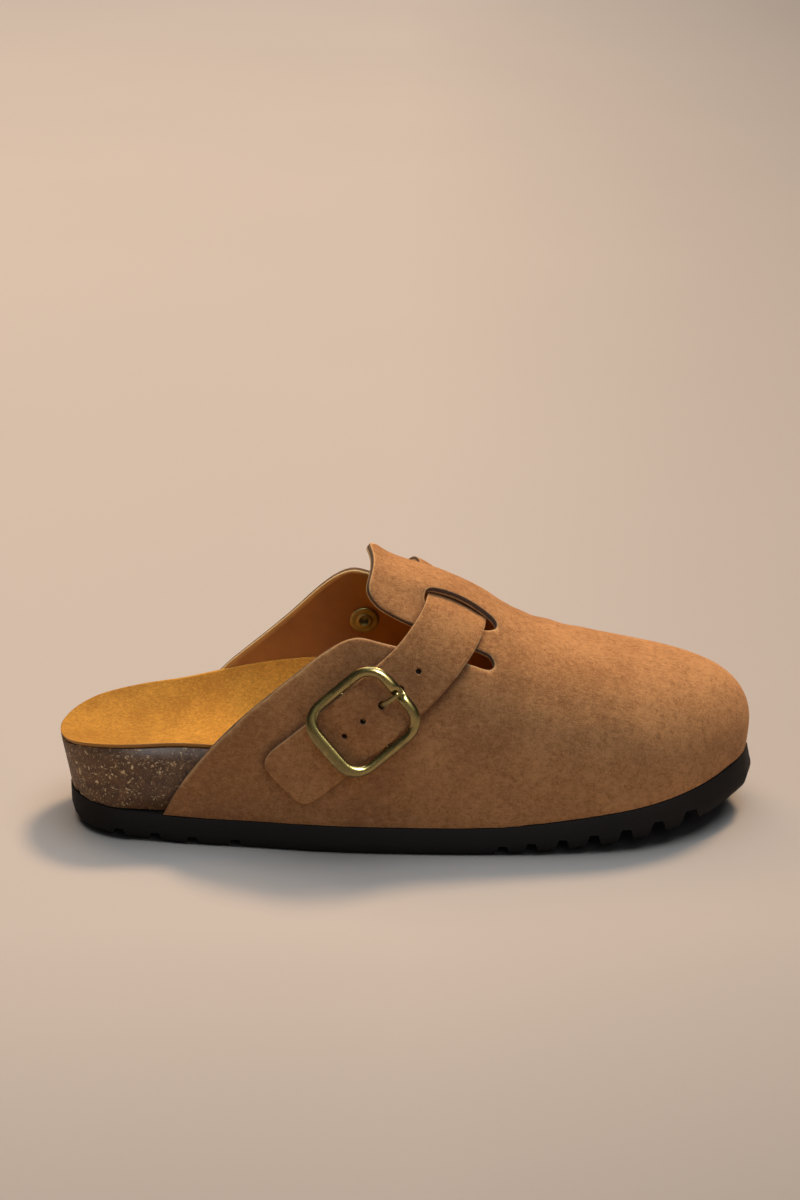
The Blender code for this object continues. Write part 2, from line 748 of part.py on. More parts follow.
def build_upper():
    """Suede upper: one grid with its slits and slots left out, given a wall."""
    quarters, slits, tongues, ridge = upper_lines()
    lines = list(quarters[-1]) + [slits[-1]] + list(tongues[-1]) + [ridge]
    lines += list(reversed(tongues[1])) + [slits[1]] + list(reversed(quarters[1]))
    rivet = (RIVET_STATION, share_of(RIVET_ANGLE, 1))
    near = None
    for k in range(len(lines) - 1):
        for step in range(1, min(len(lines[k]), len(lines[k + 1]))):
            cell = [(k, -step), (k, -step - 1), (k + 1, -step - 1), (k + 1, -step)]
            middle = np.mean([lines[a][b] for a, b in cell], axis=0)
            miss = np.linalg.norm(skin(*middle) - skin(*rivet))
            if near is None or miss < near[0]:
                near = (miss, cell, np.array(rivet) - middle)
    for a, b in near[1]:
        lines[a][b] = tuple(np.array(lines[a][b]) + near[2])
    shape = bmesh.new()
    verts = [[shape.verts.new(upper_point(s, q)) for s, q in line] for line in lines]
    leans = [round(90.0 * (1.0 - abs(line[-1][1])), 3) for line in lines]
    slot_rows = {k for k in range(len(lines) - 1) if set(leans[k:k + 2]) == {SLOT_LOW, SLOT_HIGH}}
    for k in range(len(lines) - 1):
        length = min(len(lines[k]), len(lines[k + 1]))
        side = -1 if k < len(lines) // 2 else 1
        for step in range(1, length):
            if k in slot_rows and length - step - 1 in SLOT_CELLS[side]:
                continue
            cell = [(k, -step), (k, -step - 1), (k + 1, -step - 1), (k + 1, -step)]
            corners = [verts[a][b] for a, b in cell]
            if cell == near[1]:
                hole_in(shape, corners, RIVET_SEAT)
            else:
                shape.faces.new(corners)
    made = put("upper", shape, SUEDE)
    wall = made.modifiers.new("wall", "SOLIDIFY")
    wall.thickness = WALL * MM
    wall.offset = -1.0
    wall.use_even_offset = True
    return made, rivet


def strap_path(rivet):
    """Places, positions and lengths along the strap's middle line, from the tip to past the rivet."""
    stations = list(column(STRAP_ROWS, STRAP_COLUMNS, "station")) + [rivet[0]]
    shares = [share_of(a, -1) for a in column(STRAP_ROWS, STRAP_COLUMNS, "angle")] + [rivet[1]]
    stations.append(2.0 * stations[-1] - stations[-2])
    shares.append(2.0 * shares[-1] - shares[-2])
    chords = [0.0]
    for k in range(1, len(stations)):
        step = skin(stations[k], shares[k]) - skin(stations[k - 1], shares[k - 1])
        chords.append(chords[-1] + np.linalg.norm(step))
    dense = np.linspace(0.0, chords[-1], PATH_STEPS)
    places = [(smooth_through(d, chords, stations), smooth_through(d, chords, shares)) for d in dense]
    points = np.array([skin(s, q) for s, q in places])
    lengths = np.concatenate(([0.0], np.cumsum(np.linalg.norm(np.diff(points, axis=0), axis=1))))
    at_rivet = lengths[int(np.argmin(np.linalg.norm(points - skin(*rivet), axis=1)))]
    return np.array(places), lengths, at_rivet


def strap_lift(along, station, q):
    """Height of the strap's underside above the smooth upper."""
    angle = 90.0 * (1.0 - abs(q))
    drop = from_table(DROP_ROWS, DROP_COLUMNS, "angle", "lift", angle)
    rise = from_table(RISE_ROWS, RISE_COLUMNS, "along", "lift", along - BUCKLE_FROM_TIP)
    arch = 0.0
    if q > 0.0 and ARCH_LOW < angle < ARCH_HIGH:
        arch = ARCH_LIFT * math.sin(math.pi * (angle - ARCH_LOW) / (ARCH_HIGH - ARCH_LOW)) ** 2
        arch *= ease((ARCH_FRONT - station) / (ARCH_FRONT - ARCH_REAR))
    return drop + rise + arch - GAP


def across_step(place, way, reach):
    """Walk on the upper's skin from a place, square to the strap, by reach."""
    s, q = place
    steps = 4
    for k in range(steps):
        ds = (skin(s + 0.5, q) - skin(s - 0.5, q))
        dq = (skin(s, q + 0.005) - skin(s, q - 0.005)) / 0.01
        frame = np.stack((ds, dq), axis=1)
        move = np.linalg.lstsq(frame, way * reach / steps, rcond=None)[0]
        s += move[0]
        q = min(max(q + move[1], -0.999), 0.999)
    return s, q


def build_strap(rivet):
    """Leather strap, laid on the upper's own surface, with its row of holes."""
    places, lengths, at_rivet = strap_path(rivet)
    end = at_rivet + RIVET_FROM_END
    half = HOLE_PITCH / 4.0
    ticks = [0.0, 0.7, 2.4, 5.6, 10.5, 16.0, 21.6]
    ticks += [HOLE_FIRST - half + HOLE_PITCH / 2.0 * k for k in range(2 * HOLE_COUNT)]
    first = ticks[-1]
    last = at_rivet - 2.5
    count = int(round((last - first) / STRAP_STEP))
    ticks += list(np.linspace(first, last, count + 1)[1:])
    rivet_cell = len(ticks) - 1
    ticks += [at_rivet + 2.5, end - 3.4, end - 1.2, end - 0.2, end]
    hole_cells = [ticks.index(HOLE_FIRST - half + HOLE_PITCH / 2.0 * 2 * k) for k in range(HOLE_COUNT)]
    offsets = np.array((-0.5, -0.3, -0.1, 0.1, 0.3, 0.5)) * STRAP_WIDTH
    top, low = [], []
    axes = {}
    for tick in ticks:
        place = [np.interp(tick, lengths, places[:, k]) for k in (0, 1)]
        before = [np.interp(max(tick - 1.0, 0.0), lengths, places[:, k]) for k in (0, 1)]
        after = [np.interp(min(tick + 1.0, lengths[-1]), lengths, places[:, k]) for k in (0, 1)]
        way = skin(*after) - skin(*before)
        way /= np.linalg.norm(way)
        across = np.cross(skin_normal(*place), way)
        across /= np.linalg.norm(across)
        near_end = min(tick, end - tick)
        cut = STRAP_CORNER - min(near_end, STRAP_CORNER)
        trim = STRAP_CORNER - math.sqrt(max(STRAP_CORNER**2 - cut**2, 0.0))
        taper = STRAP_TAPER * ease((tick - TAPER_START) / TAPER_LENGTH)
        scale = (STRAP_WIDTH - taper - 2.0 * trim) / STRAP_WIDTH
        high_line, low_line = [], []
        for offset in offsets * scale:
            s, q = across_step(place, across, offset)
            point, normal = skin(s, q), skin_normal(s, q)
            lift = strap_lift(tick, s, q)
            low_line.append(point + normal * lift)
            high_line.append(point + normal * (lift + STRAP_THICK))
        top.append(high_line)
        low.append(low_line)
    holes = [(a, 2, HOLE_SIZE) for a in hole_cells]
    holes[PRONG_HOLE_PLACE] = (hole_cells[PRONG_HOLE_PLACE], 2, PRONG_HOLE)
    holes.append((rivet_cell, 2, RIVET_HOLE))
    put("strap", slab(np.array(top), np.array(low), holes=holes), STRAP_LEATHER)
    for name, at in (("buckle", BUCKLE_FROM_TIP), ("rivet", at_rivet)):
        place = [np.interp(at, lengths, places[:, k]) for k in (0, 1)]
        after = [np.interp(at + 4.0, lengths, places[:, k]) for k in (0, 1)]
        before = [np.interp(at - 4.0, lengths, places[:, k]) for k in (0, 1)]
        way = skin(*after) - skin(*before)
        normal = skin_normal(*place)
        way -= normal * way.dot(normal)
        way /= np.linalg.norm(way)
        axes[name] = (skin(*place), way, np.cross(normal, way), normal)
    return axes


def stand(made, axes):
    """Set a piece that is modelled along the strap onto the shoe."""
    origin, along, across, up = (Vector(v) for v in axes)
    turn = Matrix((along, across, up)).transposed().to_4x4()
    made.matrix_world = Matrix.Translation(origin * MM) @ turn


def build_buckle(axes):
    """Brass frame, its bar and its prong, modelled along, across and above the strap."""
    half_a, half_b = FRAME_ALONG / 2.0, FRAME_ACROSS / 2.0
    path = []
    notch_edges = (-NOTCH_HALF - 0.5, -NOTCH_HALF, NOTCH_HALF, NOTCH_HALF + 0.5)
    flats = (-half_b + FRAME_CORNER, -5.0) + notch_edges + (5.0,)
    path += [(half_a, v, 1.0, 0.0) for v in flats]
    turns = [math.radians(t) for t in (0, 18, 36, 54, 72, 90)]
    corner = FRAME_CORNER
    for t in turns:
        path.append((half_a - corner + corner * math.cos(t), half_b - corner + corner * math.sin(t),
                     math.cos(t), math.sin(t)))
    path += [(u, half_b, 0.0, 1.0) for u in (3.0, -3.0)]
    for t in turns:
        path.append((-half_a + corner - corner * math.sin(t), half_b - corner + corner * math.cos(t),
                     -math.sin(t), math.cos(t)))
    path += [(-half_a, v, -1.0, 0.0) for v in (3.5, -3.5)]
    for t in turns:
        path.append((-half_a + corner - corner * math.cos(t), -half_b + corner - corner * math.sin(t),
                     -math.cos(t), -math.sin(t)))
    path += [(u, -half_b, 0.0, -1.0) for u in (-3.0, 3.0)]
    for t in turns[:-1]:
        path.append((half_a - corner + corner * math.sin(t), -half_b + corner - corner * math.cos(t),
                     math.sin(t), -math.cos(t)))
    shape = bmesh.new()
    loops = []
    for u, v, out_u, out_v in path:
        share = abs(out_u) ** 2
        band = SIDE_BAND + ((TOP_BAND if u > 0 else FOOT_BAND) - SIDE_BAND) * share
        middle = FRAME_BASE + FRAME_HEIGHT / 2.0 + FRAME_BOW * (u / half_a) ** 2
        notch = NOTCH_DEPTH if u > half_a - 0.01 and abs(v) <= NOTCH_HALF else 0.0
        flat = BAND_ROUND - (FOOT_FLAT * share if u < 0 else 0.0)
        loop = []
        for k in range(BAND_SIDES):
            turn = 2.0 * math.pi * (k + 0.5) / BAND_SIDES
            wide = math.copysign(abs(math.cos(turn)) ** flat, math.cos(turn)) * band / 2.0
            tall = math.copysign(abs(math.sin(turn)) ** flat, math.sin(turn)) * FRAME_HEIGHT / 2.0
            tall = min(tall, FRAME_HEIGHT / 2.0 - notch)
            loop.append(shape.verts.new((u + out_u * wide, v + out_v * wide, middle + tall)))
        loops.append(loop)
    for a in range(len(loops)):
        b = (a + 1) % len(loops)
        for k in range(BAND_SIDES):
            n = (k + 1) % BAND_SIDES
            shape.faces.new((loops[a][k], loops[b][k], loops[b][n], loops[a][n]))
    stand(put("buckle_frame", shape, BRASS), axes)

    shape = bmesh.new()
    turn = Matrix.Translation((0.0, 0.0, BAR_HEIGHT)) @ Matrix.Rotation(math.pi / 2.0, 4, "X")
    bmesh.ops.create_cone(shape, cap_ends=True, segments=12, radius1=BAR_RADIUS, radius2=BAR_RADIUS,
                          depth=BAR_LENGTH, matrix=turn)
    stand(put("buckle_bar", shape, BRASS_BAR), axes)

    along = column(PRONG_ROWS, PRONG_COLUMNS, "along")
    height = column(PRONG_ROWS, PRONG_COLUMNS, "height")
    top, low = [], []
    for k in range(len(along)):
        a, b = max(k - 1, 0), min(k + 1, len(along) - 1)
        way = np.array((along[b] - along[a], height[b] - height[a]))
        way /= np.linalg.norm(way)
        ahead = k / (len(along) - 1)
        wide = PRONG_WIDTH * (1.0 - 0.25 * ahead**3)
        thick = PRONG_THICK * (1.0 - 0.25 * ahead**3)
        for grid, lift in ((top, thick / 2.0), (low, -thick / 2.0)):
            u, w = along[k] - way[1] * lift, height[k] + way[0] * lift
            grid.append([(u, v * wide, w) for v in (-0.5, -0.25, 0.25, 0.5)])
    stand(put("buckle_prong", slab(np.array(top), np.array(low)), BRASS_PRONG), axes)


def build_rivet(axes):
    """Tubular rivet, turned from its outline."""
    shape = bmesh.new()
    loops = []
    for radius, height in RIVET_ROWS:
        if radius == 0.0:
            loops.append([shape.verts.new((0.0, 0.0, height))] * RIVET_SIDES)
            continue
        turns = [2.0 * math.pi * k / RIVET_SIDES for k in range(RIVET_SIDES)]
        loops.append([shape.verts.new((radius * math.cos(t), radius * math.sin(t), height)) for t in turns])
    for upper, lower in zip(loops[:-1], loops[1:]):
        for k in range(RIVET_SIDES):
            n = (k + 1) % RIVET_SIDES
            corners = []
            for vert in (upper[k], upper[n], lower[n], lower[k]):
                if vert not in corners:
                    corners.append(vert)
            shape.faces.new(corners)
    stand(put("rivet", shape, BRASS_RIVET), axes)


build_outsole()
build_bed()
upper, rivet_place = build_upper()
places = build_strap(rivet_place)
build_buckle(places["buckle"])
build_rivet(places["rivet"])

# The origin goes under the middle of the shoe's bounding box, on the floor.
bpy.context.view_layer.update()
graph = bpy.context.evaluated_depsgraph_get()
corners = []
for made in bpy.data.objects:
    if made.type == "MESH" and not made.hide_render:
        seen = made.evaluated_get(graph)
        corners += [seen.matrix_world @ v.co for v in seen.data.vertices]
corners = np.array(corners)
low, high = corners.min(axis=0), corners.max(axis=0)
shift = Vector((-(low[0] + high[0]) / 2.0, -(low[1] + high[1]) / 2.0, -low[2]))
for made in bpy.data.objects:
    made.location += shift
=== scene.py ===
# %% [markdown]
# # Dressing a clog mule
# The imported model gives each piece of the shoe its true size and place, as plain solids. This
# lesson turns them into a shoe that can be photographed: suede with a nap, a lining, cut edges,
# pressed cork, black rubber and old brass. Every finished piece stays at the origin with its
# place in its mesh, just as the solids are, so that each pattern sits still on its piece.

# %% Load the frame
import json
import math

import bpy
import numpy as np
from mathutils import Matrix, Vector, noise

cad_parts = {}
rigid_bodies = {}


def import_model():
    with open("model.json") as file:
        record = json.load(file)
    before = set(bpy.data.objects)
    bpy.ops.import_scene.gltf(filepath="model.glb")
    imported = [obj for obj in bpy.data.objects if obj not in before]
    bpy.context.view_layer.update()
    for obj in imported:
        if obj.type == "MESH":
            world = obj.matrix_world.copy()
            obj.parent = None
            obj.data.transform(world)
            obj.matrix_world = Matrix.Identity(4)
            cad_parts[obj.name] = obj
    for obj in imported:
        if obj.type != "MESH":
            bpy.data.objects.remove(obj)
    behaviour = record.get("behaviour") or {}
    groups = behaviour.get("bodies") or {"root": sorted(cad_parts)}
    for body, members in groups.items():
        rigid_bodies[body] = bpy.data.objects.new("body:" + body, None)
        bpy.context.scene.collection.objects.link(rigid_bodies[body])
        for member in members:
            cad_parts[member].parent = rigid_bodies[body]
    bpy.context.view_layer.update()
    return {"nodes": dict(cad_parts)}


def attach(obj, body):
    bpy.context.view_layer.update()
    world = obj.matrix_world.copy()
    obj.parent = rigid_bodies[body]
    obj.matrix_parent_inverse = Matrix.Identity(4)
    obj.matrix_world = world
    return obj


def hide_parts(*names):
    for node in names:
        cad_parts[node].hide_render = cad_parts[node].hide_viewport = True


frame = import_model()
MM = 0.001
print("loaded", sorted(frame["nodes"]))

# %% [markdown]
# ## Camera
# The photograph looks at the outer side of the shoe from a little above, with the toe to the
# right. A long lens keeps the heel and toe in proportion. The camera could be aimed with a
# constraint, but a plain place and rotation are easier to read and to move later.

# %% Camera
CAMERA_PLACE = (-0.0011, -0.9253, 0.4227)
CAMERA_TILT = math.radians(69.92)
CAMERA_PAN = math.radians(0.108)
CAMERA_LENS = 79.6
CAMERA_SENSOR = 36.0

bpy.ops.object.select_all(action="DESELECT")
bpy.ops.object.camera_add(location=CAMERA_PLACE, rotation=(CAMERA_TILT, 0.0, CAMERA_PAN))
camera = bpy.context.object
camera.data.lens = CAMERA_LENS
camera.data.sensor_width = CAMERA_SENSOR
bpy.context.scene.camera = camera
print("camera", [round(v, 4) for v in camera.location])

# %% [markdown]
# ## Helpers for materials
# A material is a small graph of nodes. The first helpers add a node and join its inputs, and
# make a material whose constant values are set on the shader itself, where an exporter can find
# them. Patterns are placed by the piece's own coordinates, or by values noted on its points.


# %% Helpers for nodes, materials and groups
def add_node(tree, kind, inputs=None, **settings):
    """Adds a node. Inputs are joined if they come from another node, and else set."""
    made = tree.nodes.new(kind)
    for name, value in settings.items():
        setattr(made, name, value)
    for key, value in (inputs or {}).items():
        if isinstance(value, bpy.types.NodeSocket):
            tree.links.new(value, made.inputs[key])
        else:
            made.inputs[key].default_value = value
    return made


def new_material(name, constants):
    """A material with a Principled shader and its constant values."""
    made = bpy.data.materials.new(name)
    made.use_nodes = True
    shader = made.node_tree.nodes["Principled BSDF"]
    for key, value in constants.items():
        shader.inputs[key].default_value = value
    return made, made.node_tree, shader


def new_group(name, inputs, outputs):
    """A node group with named inputs, as (name, type, value), and named outputs."""
    tree = bpy.data.node_groups.new(name, "ShaderNodeTree")
    for label, kind, value in inputs:
        socket = tree.interface.new_socket(name=label, in_out="INPUT", socket_type=kind)
        socket.default_value = value
    for label, kind in outputs:
        tree.interface.new_socket(name=label, in_out="OUTPUT", socket_type=kind)
    return tree, tree.nodes.new("NodeGroupInput"), tree.nodes.new("NodeGroupOutput")


def own_place(tree):
    """The place of a point in its piece, in metres."""
    return add_node(tree, "ShaderNodeTexCoord").outputs["Object"]


def noted(tree, name):
    """A value that was noted on the points of a piece, or 0 where there is none."""
    return add_node(tree, "ShaderNodeAttribute", attribute_name=name).outputs["Fac"]


print("node helpers ready")

# %% [markdown]
# ## Helpers for patterns
# Every finish of this shoe comes from a few steps: noise of some size, a sum or a stretch of a
# value, and a mix of two colours. Each step has a short helper, so that a finish reads as a
# list of what was done.

# %% Helpers for values
MIDDLE = 0.5


def scaled_noise(tree, place, per_metre, detail=3.0, roughness=0.55, swirl=0.0):
    """Noise whose grains are about one metre divided by per_metre, bent by a swirl."""
    inputs = {"Vector": place, "Scale": per_metre, "Detail": detail, "Roughness": roughness}
    inputs["Distortion"] = swirl
    return add_node(tree, "ShaderNodeTexNoise", inputs).outputs["Fac"]


def maths(tree, operation, a, b):
    """One sum, product or other step on two values."""
    return add_node(tree, "ShaderNodeMath", {0: a, 1: b}, operation=operation).outputs[0]


def centred(tree, value):
    """Shifts a value that runs from 0 to 1, so that its middle is 0."""
    return maths(tree, "SUBTRACT", value, MIDDLE)


def stretch(tree, value, low, high):
    """Stretches the range from low to high out to the range from 0 to 1."""
    inputs = {"Value": value, "From Min": low, "From Max": high}
    return add_node(tree, "ShaderNodeMapRange", inputs).outputs["Result"]


def blend_values(tree, share, a, b):
    """Mixes two values by a fixed share of the second."""
    first = maths(tree, "MULTIPLY", a, 1.0 - share)
    return maths(tree, "ADD", first, maths(tree, "MULTIPLY", b, share))


def threads(tree, value, half):
    """Thin lines where a value passes its middle, as 1 on the line and 0 beside it."""
    off = maths(tree, "ABSOLUTE", centred(tree, value), 0.0)
    return stretch(tree, off, low=half, high=0.0)


print("value helpers ready")

# %% Helpers for colours and bumps
# On a Mix node of colours these inputs are its share and its two colours, and this output its mix.
MIX_SHARE = 0
MIX_FIRST = 6
MIX_SECOND = 7
MIX_RESULT = 2


def blend(tree, share, a, b):
    """Mixes two colours by a share of the second."""
    inputs = {MIX_SHARE: share, MIX_FIRST: a, MIX_SECOND: b}
    return add_node(tree, "ShaderNodeMix", inputs, data_type="RGBA").outputs[MIX_RESULT]


def add_stops(ramp, stops):
    """Gives a colour ramp its stops, as (place, colour) from 0 to 1."""
    for place, _ in stops[1:-1]:
        ramp.elements.new(place)
    for stop, (place, colour) in zip(ramp.elements, stops):
        stop.position = place
        stop.color = (*colour, 1.0)


def bump(tree, shader, height, depth, strength):
    """Turns a height into a bump on the shader, depth in metres."""
    inputs = {"Height": height, "Distance": depth, "Strength": strength}
    made = add_node(tree, "ShaderNodeBump", inputs)
    tree.links.new(made.outputs["Normal"], shader.inputs["Normal"])


print("colour helpers ready")

# %% [markdown]
# ## Nap
# Suede is the brushed flesh side of a hide. Close up it is a field of short fibres that lie in
# patches, some turned to the light and some away from it. A photograph could be wrapped round
# the shoe, but noise in several sizes has no seams and follows any cut. Upper, strap and footbed
# share the nap, so it is a node group with its own inputs.

# %% Nap group and its inputs
nap, nap_in, nap_out = new_group(
    "nap",
    (
        ("Deep", "NodeSocketColor", (0.2, 0.1, 0.05, 1.0)),
        ("Raised", "NodeSocketColor", (0.4, 0.22, 0.12, 1.0)),
        ("Fleck", "NodeSocketColor", (0.15, 0.06, 0.03, 1.0)),
        ("Flecks", "NodeSocketFloat", 0.5),
        ("Blotch", "NodeSocketFloat", 0.5),
        ("Fineness", "NodeSocketFloat", 1.0),
        ("Rim", "NodeSocketColor", (0.6, 0.35, 0.18, 1.0)),
    ),
    (("Colour", "NodeSocketColor"), ("Height", "NodeSocketFloat")),
)
nap_surface = own_place(nap)
nap_place = add_node(
    nap,
    "ShaderNodeVectorMath",
    {0: nap_surface, "Scale": nap_in.outputs["Fineness"]},
    operation="SCALE",
).outputs[0]
print("group", nap.name)

# %% Nap fibres and tufts
# The comb draws some of the fibres out along the shoe.
COMB = (0.35, 1.0, 0.8)
STREAK_SHARE = 0.45
PATCH_SHARE = 0.36

nap_combed = add_node(
    nap, "ShaderNodeVectorMath", {0: nap_place, 1: COMB}, operation="MULTIPLY"
).outputs[0]
nap_fibre = scaled_noise(nap, nap_place, per_metre=1800.0, roughness=0.65)
nap_streak = scaled_noise(nap, nap_combed, per_metre=1150.0, roughness=0.6)
nap_patch = scaled_noise(nap, nap_place, per_metre=400.0, detail=5.0, roughness=0.66)
nap_hairs = blend_values(nap, STREAK_SHARE, nap_fibre, nap_streak)
nap_tuft = blend_values(nap, PATCH_SHARE, nap_hairs, nap_patch)
nap.links.new(nap_tuft, nap_out.inputs["Height"])
print("fibres and tufts")

# %% [markdown]
# ## Tones of the nap
# The dye leaves slow blotches, and the nap is painted darker at the heel and paler towards the
# toe, painted shade on the quarter and painted light on the vamp. Both shift the share of raised
# fibres, which are paler than the deep ones, so the tufts stay as sharp in a dark blotch as in a
# pale one.

# %% Tones of the nap
# Painted light and shade: the nap is darker at the heel and paler towards the toe.
LIT_TOE_START = -0.06
LIT_TOE_END = 0.09
LIT_TOE_SHARE = 0.09
TUFT_LOW = 0.39
TUFT_HIGH = 0.61

nap_blotch = centred(nap, scaled_noise(nap, nap_place, per_metre=38.0))
nap_dye = maths(nap, "MULTIPLY", nap_blotch, nap_in.outputs["Blotch"])
nap_parts = add_node(nap, "ShaderNodeSeparateXYZ", {0: nap_surface})
nap_along = stretch(nap, nap_parts.outputs["X"], low=LIT_TOE_START, high=LIT_TOE_END)
nap_painted_light = maths(nap, "MULTIPLY", centred(nap, nap_along), LIT_TOE_SHARE)
nap_shift = maths(nap, "ADD", nap_dye, nap_painted_light)
nap_share = stretch(nap, maths(nap, "ADD", nap_tuft, nap_shift), low=TUFT_LOW, high=TUFT_HIGH)
nap_even = blend(nap, nap_share, nap_in.outputs["Deep"], nap_in.outputs["Raised"])
print("two tones")

# %% [markdown]
# ## Marks on the nap
# Where the nap is rubbed it has dark flecks and thin curled marks. Where another piece stands on
# it, a dark line of painted shade stands for its shadow, and along a cut the nap shows a thin pale
# rim, partly worn nap and partly a painted highlight. These could be painted on by hand. Noise
# places the flecks and values noted on the points place the painted shade and the rim, so they
# follow the pieces when a size changes.

# %% Flecks and scratches
nap_rubbing = scaled_noise(nap, nap_place, per_metre=520.0, detail=4.0, roughness=0.72, swirl=0.6)
nap_rubbed = stretch(nap, nap_rubbing, low=0.54, high=0.68)
nap_curl = scaled_noise(nap, nap_place, per_metre=260.0, detail=1.0, roughness=0.5, swirl=2.2)
nap_squiggle = threads(nap, nap_curl, half=0.05)
nap_spread = scaled_noise(nap, nap_place, per_metre=190.0, detail=2.0)
nap_where = stretch(nap, nap_spread, low=0.42, high=0.62)
nap_scratch = maths(nap, "MULTIPLY", nap_squiggle, nap_where)
nap_marks = maths(nap, "MAXIMUM", nap_rubbed, nap_scratch)
nap_flecks = maths(nap, "MULTIPLY", nap_marks, nap_in.outputs["Flecks"])
nap_flecked = blend(nap, nap_flecks, nap_even, nap_in.outputs["Fleck"])
print("flecks and scratches")

# %% Painted shade and rim
# Painted shade: a dark line on the nap beside a piece that stands on it and shades it.
SHADE_LINE_COLOUR = (0.09, 0.033, 0.012, 1.0)
SHADE_LINE_SHARE = 0.75
# The pale rim is partly worn nap and partly a painted highlight where a cut catches the light.
RIM_UNEVEN = 0.2
RIM_START = 0.88

nap_shade_line = maths(nap, "MULTIPLY", noted(nap, "painted_shade"), SHADE_LINE_SHARE)
nap_shaded = blend(nap, nap_shade_line, nap_flecked, SHADE_LINE_COLOUR)
nap_uneven = maths(nap, "MULTIPLY", centred(nap, nap_patch), RIM_UNEVEN)
nap_border = maths(nap, "ADD", noted(nap, "border"), nap_uneven)
nap_rim = stretch(nap, nap_border, low=RIM_START, high=1.0)
nap_finish = blend(nap, nap_rim, nap_shaded, nap_in.outputs["Rim"])
nap.links.new(nap_finish, nap_out.inputs["Colour"])
print("nap has", len(nap.nodes), "nodes")

# %% [markdown]
# ## Suede
# Upper and strap are the same tan hide in two shades, and the footbed is a finer golden one. The
# fibres could be grown as hair, but at this distance they are finer than a dot of the picture, so
# colour and a bump do the work. All three place the nap group in a dull material. A trace of
# sheen is the light that the tips of the fibres catch at a low angle.

# %% Suede
SUEDE_CONSTANTS = {
    "Roughness": 0.95,
    "Specular IOR Level": 0.15,
    "Sheen Weight": 0.06,
    "Sheen Roughness": 0.45,
    "Sheen Tint": (1.0, 0.74, 0.5, 1.0),
}
SUEDE_BUMP = 0.6


def suede(name, deep, raised, fleck, rim, flecks, blotch, depth, fineness=1.0):
    """A suede with its own colours for the nap's depth, its tips, its flecks and its rim."""
    made, tree, shader = new_material(name, SUEDE_CONSTANTS)
    inputs = {
        "Deep": (*deep, 1.0),
        "Raised": (*raised, 1.0),
        "Fleck": (*fleck, 1.0),
        "Rim": (*rim, 1.0),
        "Flecks": flecks,
        "Blotch": blotch,
        "Fineness": fineness,
    }
    cover = add_node(tree, "ShaderNodeGroup", inputs, node_tree=nap)
    tree.links.new(cover.outputs["Colour"], shader.inputs["Base Color"])
    bump(tree, shader, cover.outputs["Height"], depth, SUEDE_BUMP)
    return made


UPPER_SUEDE = suede(
    "upper_suede",
    deep=(0.365, 0.16, 0.055),
    raised=(0.61, 0.297, 0.114),
    fleck=(0.26, 0.094, 0.031),
    rim=(0.68, 0.39, 0.17),
    flecks=0.62,
    blotch=0.42,
    depth=0.0009,
)
STRAP_SUEDE = suede(
    "strap_suede",
    deep=(0.347, 0.149, 0.049),
    raised=(0.592, 0.287, 0.107),
    fleck=(0.25, 0.084, 0.028),
    rim=(0.66, 0.37, 0.155),
    flecks=0.66,
    blotch=0.5,
    depth=0.0009,
)
BED_SUEDE = suede(
    "bed_suede",
    deep=(0.42, 0.185, 0.024),
    raised=(0.72, 0.355, 0.052),
    fleck=(0.29, 0.12, 0.019),
    rim=(0.6, 0.28, 0.04),
    flecks=0.5,
    blotch=0.3,
    depth=0.0008,
    fineness=1.7,
)
print("suedes", UPPER_SUEDE.name, STRAP_SUEDE.name, BED_SUEDE.name)

# %% [markdown]
# ## Lining
# The inside of the upper is a smooth brown lining, glued to the suede. A plain colour would do
# inside the toe, where it is dark, but the lining shows at the open back. So it has slow clouds
# in its colour, a fine grain, and a little more gloss than the nap.

# %% Lining
LINING_DARK = (0.36, 0.158, 0.026, 1.0)
LINING_PALE = (0.49, 0.225, 0.042, 1.0)

lining, lining_tree, lining_shader = new_material(
    "smooth_lining", {"Roughness": 0.55, "Specular IOR Level": 0.3}
)
lining_place = own_place(lining_tree)
lining_noise = scaled_noise(lining_tree, lining_place, per_metre=60.0, detail=4.0)
lining_cloud = stretch(lining_tree, lining_noise, low=0.3, high=0.7)
lining_colour = blend(lining_tree, lining_cloud, LINING_DARK, LINING_PALE)
lining_tree.links.new(lining_colour, lining_shader.inputs["Base Color"])
lining_grain = scaled_noise(lining_tree, lining_place, per_metre=1400.0)
bump(lining_tree, lining_shader, lining_grain, depth=0.0002, strength=0.4)
print("lining", lining.name)

# %% [markdown]
# ## Cut edges
# Where the upper is cut, its edge shows the dark suede and, on the inside, the pale raw layer of
# the lining. The footbed's edge is golden and paler than its top, painted light on a side that
# turns from the lamps, and it grows dark towards the cork. Both materials read a value that is 0
# on the face of a sheet and 1 on its back, so their layers follow every cut.

# %% Cut edges
EDGE_WANDER = 0.3
EDGE_BUMP = 0.5
# Place from the face to the back, and colour.
EDGE_LAYERS = (
    (0.0, (0.26, 0.14, 0.07)),
    (0.14, (0.13, 0.075, 0.045)),
    (0.6, (0.1, 0.06, 0.038)),
    (0.76, (0.66, 0.46, 0.23)),
    (1.0, (0.58, 0.37, 0.16)),
)
# Painted light: the golden layer is paler than the footbed's top. Below it the edge grows dark
# towards the cork.
BED_EDGE_LAYERS = (
    (0.0, (0.8, 0.4, 0.07)),
    (0.5, (0.8, 0.4, 0.07)),
    (0.72, (0.06, 0.03, 0.012)),
    (1.0, (0.03, 0.015, 0.008)),
)


